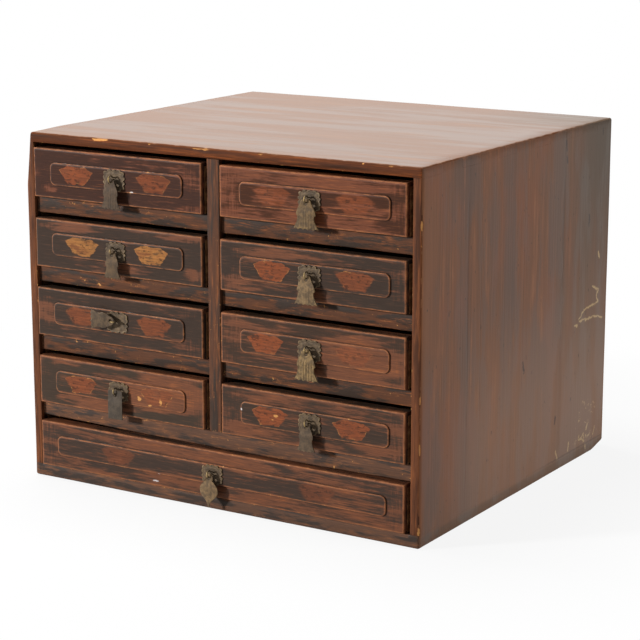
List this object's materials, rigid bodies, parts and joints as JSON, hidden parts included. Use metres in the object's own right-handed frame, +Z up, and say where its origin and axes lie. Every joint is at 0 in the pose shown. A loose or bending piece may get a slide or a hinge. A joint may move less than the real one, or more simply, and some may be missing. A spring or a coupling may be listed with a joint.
{
  "type": "tabletop chest of drawers",
  "caption": "Lacquered tabletop chest with paired small drawers over a full-width drawer, raised front panels and hanging brass pulls.",
  "frame": {"origin": "middle of the case's underside", "axes": "+Z up, +X to the right as seen from the front, drawers open towards -Y"},
  "size_m": [0.43, 0.4023, 0.338],
  "materials": {
    "case_lacquer": "worn dark brown lacquer, satin",
    "front_lacquer": "dark lacquer worn through to red-brown, satin",
    "plain_wood": "bare aged wood",
    "brass": "dull aged"
  },
  "bodies": {
    "case": {"top_board": "case_lacquer", "bottom_board": "case_lacquer", "left_side": "case_lacquer", "right_side": "case_lacquer", "back_panel": "plain_wood", "centre_divider": "case_lacquer", "lower_shelf": "case_lacquer", "left_shelf_1": "case_lacquer", "left_shelf_2": "case_lacquer", "left_shelf_3": "case_lacquer", "right_shelf_1": "case_lacquer", "right_shelf_2": "case_lacquer", "right_shelf_3": "case_lacquer"},
    "drawer_left_1": {"drawer_left_1_front": "front_lacquer", "drawer_left_1_walls": "plain_wood", "drawer_left_1_floor": "plain_wood", "pull_left_1_plate": "brass"},
    "pendant_left_1": {"pull_left_1_pendant": "brass"},
    "drawer_left_2": {"drawer_left_2_front": "front_lacquer", "drawer_left_2_walls": "plain_wood", "drawer_left_2_floor": "plain_wood", "pull_left_2_plate": "brass"},
    "pendant_left_2": {"pull_left_2_pendant": "brass"},
    "drawer_left_3": {"drawer_left_3_front": "front_lacquer", "drawer_left_3_walls": "plain_wood", "drawer_left_3_floor": "plain_wood", "pull_left_3_plate": "brass"},
    "pendant_left_3": {"pull_left_3_pendant": "brass"},
    "drawer_left_4": {"drawer_left_4_front": "front_lacquer", "drawer_left_4_walls": "plain_wood", "drawer_left_4_floor": "plain_wood", "pull_left_4_plate": "brass"},
    "pendant_left_4": {"pull_left_4_pendant": "brass"},
    "drawer_right_1": {"drawer_right_1_front": "front_lacquer", "drawer_right_1_walls": "plain_wood", "drawer_right_1_floor": "plain_wood", "pull_right_1_plate": "brass"},
    "pendant_right_1": {"pull_right_1_pendant": "brass"},
    "drawer_right_2": {"drawer_right_2_front": "front_lacquer", "drawer_right_2_walls": "plain_wood", "drawer_right_2_floor": "plain_wood", "pull_right_2_plate": "brass"},
    "pendant_right_2": {"pull_right_2_pendant": "brass"},
    "drawer_right_3": {"drawer_right_3_front": "front_lacquer", "drawer_right_3_walls": "plain_wood", "drawer_right_3_floor": "plain_wood", "pull_right_3_plate": "brass"},
    "pendant_right_3": {"pull_right_3_pendant": "brass"},
    "drawer_right_4": {"drawer_right_4_front": "front_lacquer", "drawer_right_4_walls": "plain_wood", "drawer_right_4_floor": "plain_wood", "pull_right_4_plate": "brass"},
    "pendant_right_4": {"pull_right_4_pendant": "brass"},
    "drawer_bottom": {"drawer_bottom_front": "front_lacquer", "drawer_bottom_left_side": "plain_wood", "drawer_bottom_right_side": "plain_wood", "drawer_bottom_back": "plain_wood", "drawer_bottom_floor": "plain_wood", "pull_bottom_plate": "brass"},
    "pendant_bottom": {"pull_bottom_pendant": "brass"}
  },
  "joints": [
    {"name": "left_1_slide", "type": "slide", "parent": "case", "child": "drawer_left_1", "axis": [0, -1, 0], "range_m": [0, 0.3]},
    {"name": "left_1_pendant_swing", "type": "hinge", "parent": "drawer_left_1", "child": "pendant_left_1", "pos_m": [-0.10762, -0.2036, 0.30281], "axis": [-1, 0, 0], "range_deg": [-6, 150]},
    {"name": "left_2_slide", "type": "slide", "parent": "case", "child": "drawer_left_2", "axis": [0, -1, 0], "range_m": [0, 0.3]},
    {"name": "left_2_pendant_swing", "type": "hinge", "parent": "drawer_left_2", "child": "pendant_left_2", "pos_m": [-0.10762, -0.2036, 0.23564], "axis": [-1, 0, 0], "range_deg": [-6, 150]},
    {"name": "left_3_slide", "type": "slide", "parent": "case", "child": "drawer_left_3", "axis": [0, -1, 0], "range_m": [0, 0.3]},
    {"name": "left_3_pendant_swing", "type": "hinge", "parent": "drawer_left_3", "child": "pendant_left_3", "pos_m": [-0.10762, -0.2036, 0.16846], "axis": [0, 0, 1], "range_deg": [-6, 150]},
    {"name": "left_4_slide", "type": "slide", "parent": "case", "child": "drawer_left_4", "axis": [0, -1, 0], "range_m": [0, 0.3]},
    {"name": "left_4_pendant_swing", "type": "hinge", "parent": "drawer_left_4", "child": "pendant_left_4", "pos_m": [-0.10762, -0.2036, 0.10129], "axis": [-1, 0, 0], "range_deg": [-6, 150]},
    {"name": "right_1_slide", "type": "slide", "parent": "case", "child": "drawer_right_1", "axis": [0, -1, 0], "range_m": [0, 0.3]},
    {"name": "right_1_pendant_swing", "type": "hinge", "parent": "drawer_right_1", "child": "pendant_right_1", "pos_m": [0.10462, -0.2036, 0.30281], "axis": [-1, 0, 0], "range_deg": [-6, 150]},
    {"name": "right_2_slide", "type": "slide", "parent": "case", "child": "drawer_right_2", "axis": [0, -1, 0], "range_m": [0, 0.3]},
    {"name": "right_2_pendant_swing", "type": "hinge", "parent": "drawer_right_2", "child": "pendant_right_2", "pos_m": [0.10462, -0.2036, 0.23564], "axis": [-1, 0, 0], "range_deg": [-6, 150]},
    {"name": "right_3_slide", "type": "slide", "parent": "case", "child": "drawer_right_3", "axis": [0, -1, 0], "range_m": [0, 0.3]},
    {"name": "right_3_pendant_swing", "type": "hinge", "parent": "drawer_right_3", "child": "pendant_right_3", "pos_m": [0.10462, -0.2036, 0.16846], "axis": [-1, 0, 0], "range_deg": [-6, 150]},
    {"name": "right_4_slide", "type": "slide", "parent": "case", "child": "drawer_right_4", "axis": [0, -1, 0], "range_m": [0, 0.3]},
    {"name": "right_4_pendant_swing", "type": "hinge", "parent": "drawer_right_4", "child": "pendant_right_4", "pos_m": [0.10462, -0.2036, 0.10129], "axis": [-1, 0, 0], "range_deg": [-6, 150]},
    {"name": "bottom_slide", "type": "slide", "parent": "case", "child": "drawer_bottom", "axis": [0, -1, 0], "range_m": [0, 0.3]},
    {"name": "bottom_pendant_swing", "type": "hinge", "parent": "drawer_bottom", "child": "pendant_bottom", "pos_m": [-0.0015, -0.2036, 0.0371], "axis": [-1, 0, 0], "range_deg": [-6, 150]}
  ]
}
